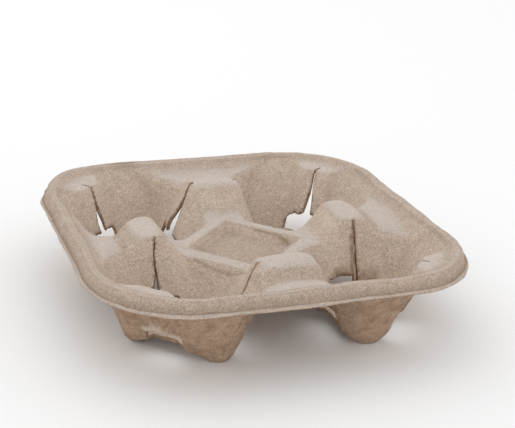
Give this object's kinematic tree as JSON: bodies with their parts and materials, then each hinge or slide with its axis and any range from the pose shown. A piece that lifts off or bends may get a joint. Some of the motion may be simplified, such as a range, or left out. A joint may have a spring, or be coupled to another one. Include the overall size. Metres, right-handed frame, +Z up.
{
  "type": "moulded pulp cup carrier",
  "caption": "Square tray pressed from paper pulp that carries hot drink cups in slotted wells round a sunk middle diamond.",
  "frame": {"origin": "middle of the tray, on the plane that its legs stand on", "axes": "+Z up out of the cup wells, +X and +Y square to the tray's straight sides"},
  "size_m": [0.21, 0.21, 0.0485],
  "materials": {
    "moulded_pulp": "matte, fibrous"
  },
  "bodies": {
    "root": {"cup_carrier": "moulded_pulp"}
  },
  "joints": []
}
